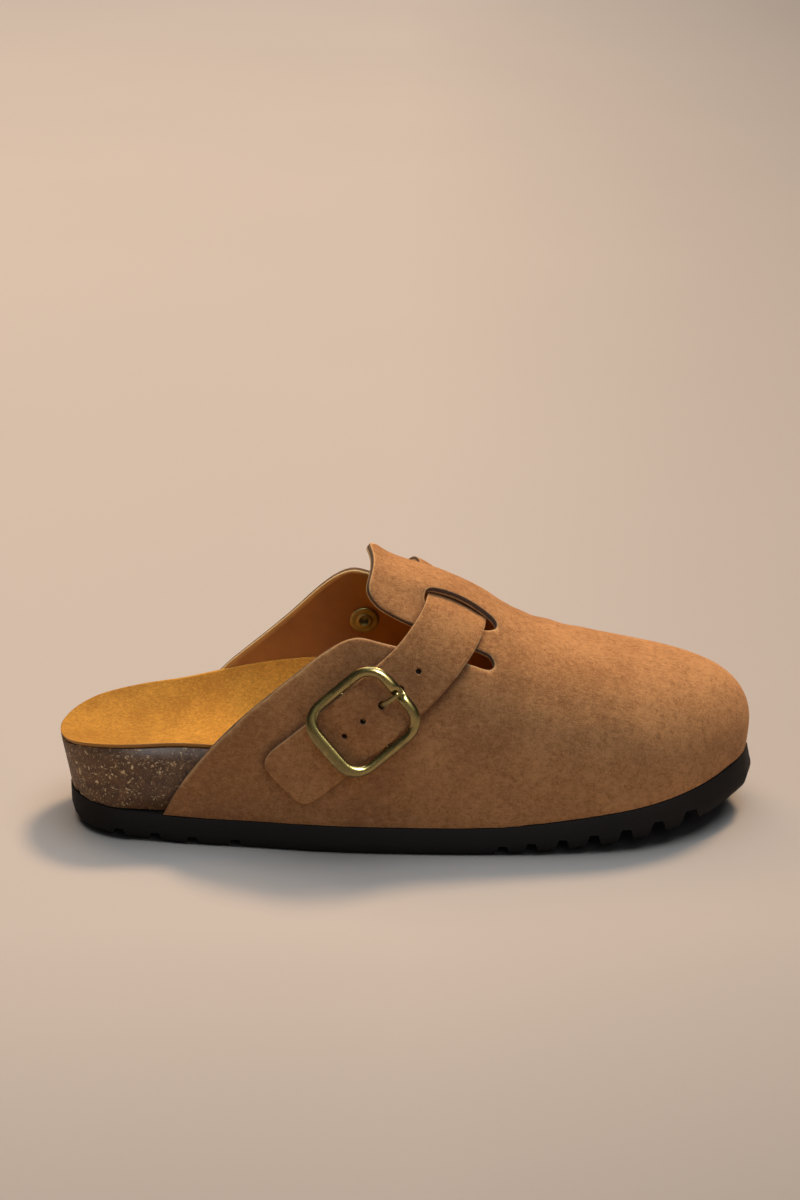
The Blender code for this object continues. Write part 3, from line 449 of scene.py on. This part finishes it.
def layered_edge(name, constants, per_metre, layers, relief=0.0):
    """A cut edge with layers that wander a little, and a bump if it has a relief in metres."""
    made, tree, shader = new_material(name, constants)
    rough = scaled_noise(tree, own_place(tree), per_metre)
    wander = maths(tree, "MULTIPLY", centred(tree, rough), EDGE_WANDER)
    depth = maths(tree, "ADD", noted(tree, "wall_depth"), wander)
    ramp = add_node(tree, "ShaderNodeValToRGB", {"Fac": depth})
    add_stops(ramp.color_ramp, layers)
    tree.links.new(ramp.outputs["Color"], shader.inputs["Base Color"])
    if relief:
        bump(tree, shader, rough, relief, EDGE_BUMP)
    return made


CUT_EDGE = layered_edge(
    "cut_edge",
    {"Roughness": 0.9, "Specular IOR Level": 0.2},
    per_metre=900.0,
    layers=EDGE_LAYERS,
    relief=0.0004,
)
BED_EDGE = layered_edge("bed_edge", {"Roughness": 0.85}, per_metre=500.0, layers=BED_EDGE_LAYERS)
print("edges", CUT_EDGE.name, BED_EDGE.name)

# %% [markdown]
# ## Cork
# Pressed cork is granules in a dark binder, each granule with its own shade, and between them
# ragged pale flakes. Voronoi cells give granules at once, and the peaks of a swirled noise give
# flakes of any outline.

# %% Cork
GRANULE_DARK = (0.11, 0.047, 0.015, 1.0)
GRANULE_PALE = (0.21, 0.1, 0.036, 1.0)
BINDER = (0.06, 0.025, 0.01, 1.0)
GRANULES_PER_METRE = 420.0
# Flakes per metre, the peak of noise where they start, and colour.
FLAKE_ROWS = (
    (520.0, 0.61, (0.28, 0.15, 0.062, 1.0)),
    (900.0, 0.65, (0.5, 0.32, 0.14, 1.0)),
    (460.0, 0.645, (0.74, 0.53, 0.27, 1.0)),
    (700.0, 0.655, (0.9, 0.68, 0.37, 1.0)),
)
FLAKE_EDGE = 0.025

cork, cork_tree, cork_shader = new_material(
    "pressed_cork",
    {"Roughness": 0.6, "Specular IOR Level": 0.3, "Coat Weight": 0.1, "Coat Roughness": 0.4},
)
cork_place = own_place(cork_tree)
cork_cells = add_node(
    cork_tree, "ShaderNodeTexVoronoi", {"Vector": cork_place, "Scale": GRANULES_PER_METRE}
)
cork_shade = add_node(cork_tree, "ShaderNodeSeparateColor", {0: cork_cells.outputs["Color"]})
cork_colour = blend(cork_tree, cork_shade.outputs[0], GRANULE_DARK, GRANULE_PALE)
cork_rough = scaled_noise(cork_tree, cork_place, per_metre=1100.0, roughness=0.7)
cork_dark = stretch(cork_tree, centred(cork_tree, cork_rough), low=0.02, high=0.2)
cork_colour = blend(cork_tree, cork_dark, cork_colour, BINDER)
cork_height = cork_cells.outputs["Distance"]
for per_metre, peak, colour in FLAKE_ROWS:
    ragged = scaled_noise(cork_tree, cork_place, per_metre, detail=2.0, roughness=0.6, swirl=0.8)
    flakes = stretch(cork_tree, ragged, low=peak, high=peak + FLAKE_EDGE)
    cork_colour = blend(cork_tree, flakes, cork_colour, colour)
    cork_height = maths(cork_tree, "ADD", cork_height, flakes)
cork_tree.links.new(cork_colour, cork_shader.inputs["Base Color"])
bump(cork_tree, cork_shader, cork_height, depth=0.0003, strength=0.3)
print("cork with", len(FLAKE_ROWS), "kinds of flake")

# %% [markdown]
# ## Rubber
# The sole is nearly black, moulded and dull. A plain black would look like a hole in the
# picture, so it has a faint grain and slow dusty clouds.

# %% Rubber
RUBBER_DARK = (0.0075, 0.0048, 0.0036, 1.0)
RUBBER_DUSTY = (0.014, 0.009, 0.007, 1.0)

rubber, rubber_tree, rubber_shader = new_material(
    "sole_rubber", {"Roughness": 0.7, "Specular IOR Level": 0.12}
)
rubber_place = own_place(rubber_tree)
rubber_cloud = scaled_noise(rubber_tree, rubber_place, per_metre=50.0)
rubber_colour = blend(rubber_tree, rubber_cloud, RUBBER_DARK, RUBBER_DUSTY)
rubber_tree.links.new(rubber_colour, rubber_shader.inputs["Base Color"])
rubber_grain = scaled_noise(rubber_tree, rubber_place, per_metre=900.0)
bump(rubber_tree, rubber_shader, rubber_grain, depth=0.0002, strength=0.3)
print("rubber", rubber.name)

# %% [markdown]
# ## Brass
# The brass has been darkened, rubbed bright in patches, and lacquered, which is why the buckle's
# shine is white. The rivet is paler and duller and has no lacquer. One function makes both from
# their colours, their polish and their lacquer.

# %% Brass
FILM_ROUGHNESS = 0.14


def brass(name, bright, dark, polish, lacquer):
    """Brass with a patchy film under a clear lacquer. A smaller polish is a sharper shine."""
    constants = {"Metallic": 1.0, "Coat Weight": lacquer, "Coat Roughness": 0.16}
    made, tree, shader = new_material(name, constants)
    place = own_place(tree)
    patches = scaled_noise(tree, place, per_metre=160.0, detail=5.0, roughness=0.6)
    film = stretch(tree, patches, low=0.4, high=0.7)
    colour = blend(tree, film, (*bright, 1.0), (*dark, 1.0))
    tree.links.new(colour, shader.inputs["Base Color"])
    rough = maths(tree, "ADD", maths(tree, "MULTIPLY", film, FILM_ROUGHNESS), polish)
    tree.links.new(rough, shader.inputs["Roughness"])
    grain = scaled_noise(tree, place, per_metre=900.0, detail=2.0)
    bump(tree, shader, grain, depth=0.00004, strength=0.2)
    return made


BUCKLE_BRASS = brass(
    "old_brass",
    bright=(0.28, 0.21, 0.062),
    dark=(0.13, 0.095, 0.026),
    polish=0.22,
    lacquer=0.9,
)
RIVET_BRASS = brass(
    "dull_brass",
    bright=(0.42, 0.35, 0.14),
    dark=(0.25, 0.2, 0.07),
    polish=0.42,
    lacquer=0.0,
)
print("brasses", BUCKLE_BRASS.name, RIVET_BRASS.name)

# %% [markdown]
# ## Helpers for pieces
# A solid from the frame is loose triangles. A copy of it is joined up and its triangles are paired
# into quads, because a Subdivision Surface rounds quads evenly. Working on a copy leaves the frame
# as it was imported. A finished piece takes the place of its solid.

# %% Helpers for taking and settling a piece
SAME_POINT = 1e-6
QUAD_BEND = math.radians(60.0)
QUAD_SKEW = math.radians(70.0)
ROUNDING_LEVELS = 2


def edit(piece):
    """Opens one piece in edit mode, with nothing else selected."""
    if bpy.context.object and bpy.context.object.mode != "OBJECT":
        bpy.ops.object.mode_set(mode="OBJECT")
    bpy.ops.object.select_all(action="DESELECT")
    piece.select_set(True)
    bpy.context.view_layer.objects.active = piece
    bpy.ops.object.mode_set(mode="EDIT")


def take(node, name):
    """A copy of a solid as a new piece, joined up and paired into quads."""
    piece = bpy.data.objects.new(name, frame["nodes"][node].data.copy())
    bpy.context.scene.collection.objects.link(piece)
    piece.data.materials.clear()
    edit(piece)
    bpy.ops.mesh.customdata_custom_splitnormals_clear()
    bpy.ops.mesh.select_all(action="SELECT")
    bpy.ops.mesh.remove_doubles(threshold=SAME_POINT)
    bpy.ops.mesh.tris_convert_to_quads(face_threshold=QUAD_BEND, shape_threshold=QUAD_SKEW)
    bpy.ops.object.mode_set(mode="OBJECT")
    return piece


def smooth(piece):
    """Rounds a piece with a Subdivision Surface, applied."""
    edit(piece)
    bpy.ops.mesh.select_all(action="SELECT")
    bpy.ops.mesh.mark_sharp(clear=True)
    bpy.ops.object.mode_set(mode="OBJECT")
    bpy.ops.object.modifier_add(type="SUBSURF")
    rounding = piece.modifiers[-1]
    rounding.levels = ROUNDING_LEVELS
    rounding.render_levels = ROUNDING_LEVELS
    bpy.ops.object.modifier_apply(modifier=rounding.name)
    bpy.ops.object.shade_smooth()


def settle(piece, node):
    """Joins a finished piece to the shoe in place of its solid."""
    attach(piece, "root")
    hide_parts(node)
    print(piece.name, len(piece.data.polygons), "faces")


print("piece helpers ready")

# %% [markdown]
# ## Helpers for edges
# Subdivision rounds everything it is not told to keep. An edge that should stay crisp gets a
# crease, either because it is sharp, or because it is the border of a painted face, or because
# it stands on the sole.


# %% Helpers for edges
def mark_edges(piece, angle, crease=0.0):
    """Marks every edge that is sharper than an angle, and creases it if asked to."""
    edit(piece)
    bpy.ops.mesh.select_mode(type="EDGE")
    bpy.ops.mesh.select_all(action="DESELECT")
    bpy.ops.mesh.edges_select_sharp(sharpness=math.radians(angle))
    bpy.ops.mesh.mark_sharp()
    if crease:
        bpy.ops.transform.edge_crease(value=crease)
    bpy.ops.object.mode_set(mode="OBJECT")


def crease_round(piece, slot, crease):
    """Creases the border of the faces that have one material, and no edge inside it."""
    edit(piece)
    bpy.ops.mesh.select_mode(type="FACE")
    bpy.ops.mesh.select_all(action="DESELECT")
    piece.active_material_index = slot
    bpy.ops.object.material_slot_select()
    bpy.ops.mesh.region_to_loop()
    bpy.ops.transform.edge_crease(value=crease)
    bpy.ops.object.mode_set(mode="OBJECT")


def crease_below(piece, height, crease):
    """Creases every edge below a height, so that what stands on the sole keeps its corners."""
    edit(piece)
    bpy.ops.mesh.select_mode(type="VERT")
    bpy.ops.mesh.select_all(action="DESELECT")
    bpy.ops.object.mode_set(mode="OBJECT")
    for vert in piece.data.vertices:
        vert.select = vert.co.z < height
    edit(piece)
    bpy.ops.mesh.select_mode(type="EDGE")
    bpy.ops.transform.edge_crease(value=crease)
    bpy.ops.object.mode_set(mode="OBJECT")


print("edge helpers ready")

# %% [markdown]
# ## Helpers for sheets
# Upper, strap and footbed lining are sheets with a face, a back and a cut edge, which meet at
# sharp edges. The face and the back are each found by starting from one face of the mesh and
# spreading up to those edges. What is left is the cut. Values noted on the points tell the
# materials how deep in the sheet a point lies and whether it lies on a cut.

# %% Helpers for sheets
CUT = 0
FACE = 1
BACK = 2
SHEET_SHARP = 48.0
FACING = 0.5
# A cut that looks down catches no light, so its rim gets no painted highlight.
LOOKS_DOWN = -0.6


def note(piece, name, values):
    """Notes a value on every point of a piece."""
    piece.data.attributes.new(name, "FLOAT", "POINT").data.foreach_set("value", values)


def note_wall_depth(piece):
    """Notes 1 on the points of the back of a sheet and 0 on all others."""
    depth = np.zeros(len(piece.data.vertices), np.float32)
    for face in piece.data.polygons:
        if face.material_index == BACK:
            depth[list(face.vertices)] = 1.0
    note(piece, "wall_depth", depth)


def note_border(piece):
    """Notes 1 on the points of a cut, and 0 on all others and where the cut looks down."""
    border = np.zeros(len(piece.data.vertices), np.float32)
    for face in piece.data.polygons:
        if face.material_index == CUT:
            border[list(face.vertices)] = face.normal.z > LOOKS_DOWN
    note(piece, "border", border)


def paint_up_to_edges(piece, place, way, slot):
    """Gives a material to the face nearest a place and facing a way, and on up to marked edges."""
    faces = [f for f in piece.data.polygons if f.normal.dot(Vector(way)) > FACING]
    seed = min(faces, key=lambda f: (f.center - Vector(place)).length).index
    edit(piece)
    bpy.ops.mesh.select_mode(type="FACE")
    bpy.ops.mesh.select_all(action="DESELECT")
    bpy.ops.object.mode_set(mode="OBJECT")
    piece.data.polygons[seed].select = True
    edit(piece)
    bpy.ops.mesh.select_linked(delimit={"SHARP"})
    piece.active_material_index = slot
    bpy.ops.object.material_slot_assign()
    bpy.ops.object.mode_set(mode="OBJECT")


def take_sheet(node, name, looks, face_seed, back_seed):
    """Takes a sheet and paints its cut, its face and its back. A seed is a place and a way."""
    piece = take(node, name)
    mark_edges(piece, SHEET_SHARP)
    for look in looks:
        piece.data.materials.append(look)
    paint_up_to_edges(piece, *face_seed, FACE)
    paint_up_to_edges(piece, *back_seed, BACK)
    note_wall_depth(piece)
    slots = [face.material_index for face in piece.data.polygons]
    print(name, "cut", slots.count(CUT), "face", slots.count(FACE), "back", slots.count(BACK))
    return piece


print("sheet helpers ready")

# %% [markdown]
# ## Creases
# Worn suede is never quite even. The vamp of this shoe has a few soft troughs where the foot
# bends, and the sides wander by a fraction of a millimetre. Sculpting would do it, but a short
# table of troughs in the shoe's own millimetres can be read and changed. Upper and strap are
# moved by the same rule, so they stay the same distance apart. Nothing moves at the sole.

# %% Creases
# Stations are counted from the rim at the heel. Points move to or from a line inside the foot.
HEEL_RIM_X = -131.1
SPINE_HEIGHT = 38.0
SPINE_Y = 4.0
SPINE_NEAR = 1.0
STILL_HEIGHT = 14.0
STILL_FADE = 12.0
TROUGH_LIP = 1.2
WANDER = 0.35
WANDER_PER_MM = 0.045
# Station, lean, width, depth, height of the middle, and reach up and down.
CREASE_ROWS = (
    (176.0, 0.28, 5.0, 0.45, 62.0, 26.0),
    (189.0, 0.2, 6.0, 0.35, 56.0, 24.0),
    (203.0, 0.05, 7.0, 0.25, 50.0, 20.0),
)


def crease_at(place):
    """How far a point moves for the creases and for the wander of the leather."""
    x, y, z = place.x / MM - HEEL_RIM_X, place.y / MM, place.z / MM
    out = Vector((0.0, y - SPINE_Y, z - SPINE_HEIGHT))
    if out.length < SPINE_NEAR:
        return Vector()
    out.normalize()
    free = min(max((z - STILL_HEIGHT) / STILL_FADE, 0.0), 1.0)
    depth = 0.0
    for station, lean, width, deep, height, reach in CREASE_ROWS:
        along = (x - station - lean * (z - height)) / width
        up = (z - height) / reach
        depth -= deep * (1.0 - TROUGH_LIP * along * along) * math.exp(-along * along - up * up)
    depth += WANDER * noise.noise(Vector((x, y, z)) * WANDER_PER_MM)
    return out * (depth * free * MM)


def crease_leather(piece):
    """Moves every point of a piece by the creases."""
    for vert in piece.data.vertices:
        vert.co += crease_at(vert.co)
    piece.data.update()


print(len(CREASE_ROWS), "creases")

# %% [markdown]
# ## Upper
# One cut piece of suede, lasted round the bed. It could be draped anew from a flat pattern, but
# the solid already has its form, so a copy of that is painted and rounded. The borders of its
# face and its back are creased, so that the cut edge stays flat between them, and its foot keeps
# its corners on the sole.

# %% Upper
UPPER_FOOT = 12.5
UPPER_CRISP = 0.8
UPPER_FACE = ((0.06, 0.005, 0.075), (0.0, 0.0, 1.0))
UPPER_BACK = ((0.06, 0.005, 0.065), (0.0, 0.0, -1.0))

upper_looks = (CUT_EDGE, UPPER_SUEDE, lining)
upper = take_sheet("upper", "suede_upper", upper_looks, UPPER_FACE, UPPER_BACK)
note_border(upper)
crease_round(upper, FACE, UPPER_CRISP)
crease_round(upper, BACK, UPPER_CRISP)
crease_below(upper, UPPER_FOOT * MM, crease=1.0)
smooth(upper)
crease_leather(upper)
settle(upper, "upper")

# %% [markdown]
# ## Strap
# A strip of the same hide, with a row of punched holes. Holes could be cut with a Boolean, but
# the solid has them already, with eight corners each. Only the borders between its face, its
# edge and its back are creased, so those corners smooth into a circle.

# %% Strap
STRAP_CRISP = 0.7
STRAP_FACE = ((-0.03, -0.045, 0.045), (0.0, -1.0, 0.3))
STRAP_BACK = ((-0.03, -0.04, 0.045), (0.0, 1.0, -0.3))

strap_looks = (CUT_EDGE, STRAP_SUEDE, lining)
strap = take_sheet("strap", "suede_strap", strap_looks, STRAP_FACE, STRAP_BACK)
note_border(strap)
crease_round(strap, FACE, STRAP_CRISP)
crease_round(strap, BACK, STRAP_CRISP)
smooth(strap)
crease_leather(strap)
settle(strap, "strap")

# %% [markdown]
# ## Painted shade beside the strap
# The strap stands a little off the upper and shades it, so a fine dark line of painted shade sets
# it off. The line could be drawn in a picture, but the distance from each point of the upper to
# the strap gives it at once, and it follows the strap's outline.

# %% Painted shade beside the strap
SHADE_REACH = 0.0023


def note_painted_shade(piece, other):
    """Notes painted shade: 1 on the points of a piece that another one touches, fading to 0 beside
    it.
    """
    painted_shade = np.zeros(len(piece.data.vertices), np.float32)
    for vert in piece.data.vertices:
        found, place, _, _ = other.closest_point_on_mesh(vert.co, distance=SHADE_REACH)
        if found:
            painted_shade[vert.index] = 1.0 - (place - vert.co).length / SHADE_REACH
    note(piece, "painted_shade", painted_shade)
    print(np.count_nonzero(painted_shade), "points of", piece.name, "lie near", other.name)


note_painted_shade(upper, strap)

# %% [markdown]
# ## Footbed
# The golden lining is a thin sheet of suede, glued into the cup of the cork. Its dark edge draws
# the fine line round the heel. The cork below it is one block with a crisp rim. Both solids
# carry the cup already, so they are rounded and not modelled again.

# %% Footbed
BED_CRISP = 0.6
BED_FACE = ((-0.07, 0.0, 0.03), (0.0, 0.0, 1.0))
BED_BACK = ((-0.07, 0.0, 0.028), (0.0, 0.0, -1.0))
CORK_SHARP = 40.0
CORK_CRISP = 0.85

insole_looks = (BED_EDGE, BED_SUEDE, lining)
insole = take_sheet("insole", "suede_footbed", insole_looks, BED_FACE, BED_BACK)
crease_round(insole, FACE, BED_CRISP)
crease_round(insole, BACK, BED_CRISP)
smooth(insole)
settle(insole, "insole")

cork_bed = take("cork_footbed", "cork_bed")
mark_edges(cork_bed, CORK_SHARP, CORK_CRISP)
cork_bed.data.materials.append(cork)
smooth(cork_bed)
settle(cork_bed, "cork_footbed")

# %% [markdown]
# ## Sole
# Moulded rubber has no knife edges: its lugs come out of the mould a little round. A Bevel on
# the sharp edges does that, where subdivision would melt the grooves away.

# %% Sole
LUG_SHARP = math.radians(40.0)
LUG_ROUND = 1.1
LUG_STEPS = 3

sole = take("outsole", "rubber_sole")
sole.data.materials.append(rubber)
bpy.ops.object.modifier_add(type="BEVEL")
rounding = sole.modifiers[-1]
rounding.limit_method = "ANGLE"
rounding.angle_limit = LUG_SHARP
rounding.width = LUG_ROUND * MM
rounding.segments = LUG_STEPS
bpy.ops.object.modifier_apply(modifier=rounding.name)
bpy.ops.object.shade_smooth_by_angle(angle=LUG_SHARP)
settle(sole, "outsole")

# %% [markdown]
# ## Buckle and rivet
# The buckle is cast brass, the rivet is turned. A ring could be spun for the rivet and swept for
# the frame, but the solids have those forms, so they only need rounding. A low crease leaves
# soft corners, and a higher one keeps the ends of the bar crisper.

# %% Buckle and rivet
# Node, piece, slot, finish, angle of a sharp edge, and crease.
METAL_ROWS = (
    ("buckle_frame", "brass_frame", "buckle", BUCKLE_BRASS, 80.0, 0.3),
    ("buckle_bar", "brass_bar", "buckle_bar", BUCKLE_BRASS, 60.0, 0.6),
    ("buckle_prong", "brass_prong", "buckle_prong", BUCKLE_BRASS, 60.0, 0.35),
    ("rivet", "brass_rivet", "rivet", RIVET_BRASS, 60.0, 0.3),
)
for node, name, slot, look, sharp, crease in METAL_ROWS:
    metal = take(node, name)
    metal.data.materials.append(look)
    mark_edges(metal, sharp, crease)
    smooth(metal)
    settle(metal, node)

# %% [markdown]
# ## Paper floor
# The shoe stands on a wide sheet of pale paper. A studio would curve it up at the back, but from
# this angle a flat sheet fills the picture, so a plane is enough. Towards the camera and to the
# right the photo's paper is duller, so its colour darkens that way, a painted shade for the light
# that falls off there.

# %% Paper floor
FLOOR_SIZE = 6.0
PAPER_LOW = (0.51, 0.46, 0.42, 1.0)
PAPER_HIGH = (0.53, 0.475, 0.435, 1.0)
# Painted shade: the paper darkens towards the camera and to the right.
PAPER_SHADE = (0.26, 0.242, 0.23, 1.0)
FRONT_SHADE_SHARE = 0.55

bpy.ops.object.select_all(action="DESELECT")
bpy.ops.mesh.primitive_plane_add(size=FLOOR_SIZE, location=(0.0, 0.0, 0.0))
floor = bpy.context.object
floor.name = "paper_floor"
paper, paper_tree, paper_shader = new_material(
    "pale_paper", {"Roughness": 0.9, "Specular IOR Level": 0.1}
)
paper_place = own_place(paper_tree)
paper_noise = scaled_noise(paper_tree, paper_place, per_metre=3.0, detail=2.0)
paper_share = stretch(paper_tree, paper_noise, low=0.2, high=0.8)
paper_even = blend(paper_tree, paper_share, PAPER_LOW, PAPER_HIGH)
paper_parts = add_node(paper_tree, "ShaderNodeSeparateXYZ", {0: paper_place})
paper_right = stretch(paper_tree, paper_parts.outputs["X"], low=0.0, high=0.7)
paper_front = stretch(paper_tree, paper_parts.outputs["Y"], low=-0.1, high=-0.32)
paper_near_shade = maths(paper_tree, "MULTIPLY", paper_front, FRONT_SHADE_SHARE)
paper_shade_share = maths(paper_tree, "ADD", paper_near_shade, paper_right)
paper_colour = blend(paper_tree, paper_shade_share, paper_even, PAPER_SHADE)
paper_tree.links.new(paper_colour, paper_shader.inputs["Base Color"])
floor.data.materials.append(paper)
print("floor", floor.name)

# %% [markdown]
# ## Lamps
# A warm lamp shines from high behind the toe, so the top of the shoe is bright, its near side is
# in its own shade, and the shadow falls to the front and past the heel. A broad cool panel
# overhead keeps that shade open and a little blue. Both are sun lamps, which light the paper
# evenly out to its far edge. A warm lamp at the back left and a small warm spot on the footbed
# follow the photo, and a card that is seen in reflections alone draws the bright line on the
# buckle.

# %% Lamps
# Name, kind, place, aim, size (degrees for a sun or a spot, metres for an area), strength, colour.
LAMP_ROWS = (
    ("key_lamp", "SUN", (0.36, 0.56, 1.0), (0.0, 0.0, 0.0), 12.0, 2.1, (1.0, 0.68, 0.4)),
    ("overhead_panel", "SUN", (0.1, 0.07, 1.0), (0.0, 0.0, 0.0), 60.0, 1.9, (0.84, 0.93, 1.0)),
    ("back_lamp", "AREA", (-0.7, 1.1, 1.6), (-0.4, 1.0, 0.0), 1.0, 9.0, (1.0, 0.62, 0.32)),
    ("bed_spot", "SPOT", (-0.45, -0.12, 0.72), (-0.03, 0.035, 0.045), 11.0, 11.0, (1.0, 0.8, 0.5)),
    ("glint_card", "AREA", (0.24, -1.0, 0.82), (0.0, 0.0, 0.05), 0.5, 24.0, (0.92, 0.96, 1.0)),
)
for name, kind, place, aim, size, strength, colour in LAMP_ROWS:
    bpy.ops.object.light_add(type=kind, location=place)
    lamp = bpy.context.object
    lamp.name = name
    lamp.rotation_euler = (Vector(aim) - Vector(place)).to_track_quat("-Z", "Y").to_euler()
    lamp.data.energy = strength
    lamp.data.color = colour
    if kind == "SUN":
        lamp.data.angle = math.radians(size)
    elif kind == "SPOT":
        lamp.data.spot_size = math.radians(size)
        lamp.data.spot_blend = 1.0
    else:
        lamp.data.size = size
bpy.data.objects["glint_card"].visible_diffuse = False
print("lamps", [row[0] for row in LAMP_ROWS])

# %% [markdown]
# ## Room
# A faint cool glow from all round fills the deepest shade, as a white room would. Walls could be
# built for it, but a plain background does the same with nothing in the way. The Standard view
# keeps the colours as they are mixed.

# %% Room
ROOM_COLOUR = (0.8, 0.85, 0.95, 1.0)
ROOM_GLOW = 0.04

world = bpy.data.worlds.new("studio")
world.use_nodes = True
sky = world.node_tree.nodes["Background"]
sky.inputs["Color"].default_value = ROOM_COLOUR
sky.inputs["Strength"].default_value = ROOM_GLOW
bpy.context.scene.world = world
bpy.context.scene.view_settings.view_transform = "Standard"
print("room glow", ROOM_GLOW)
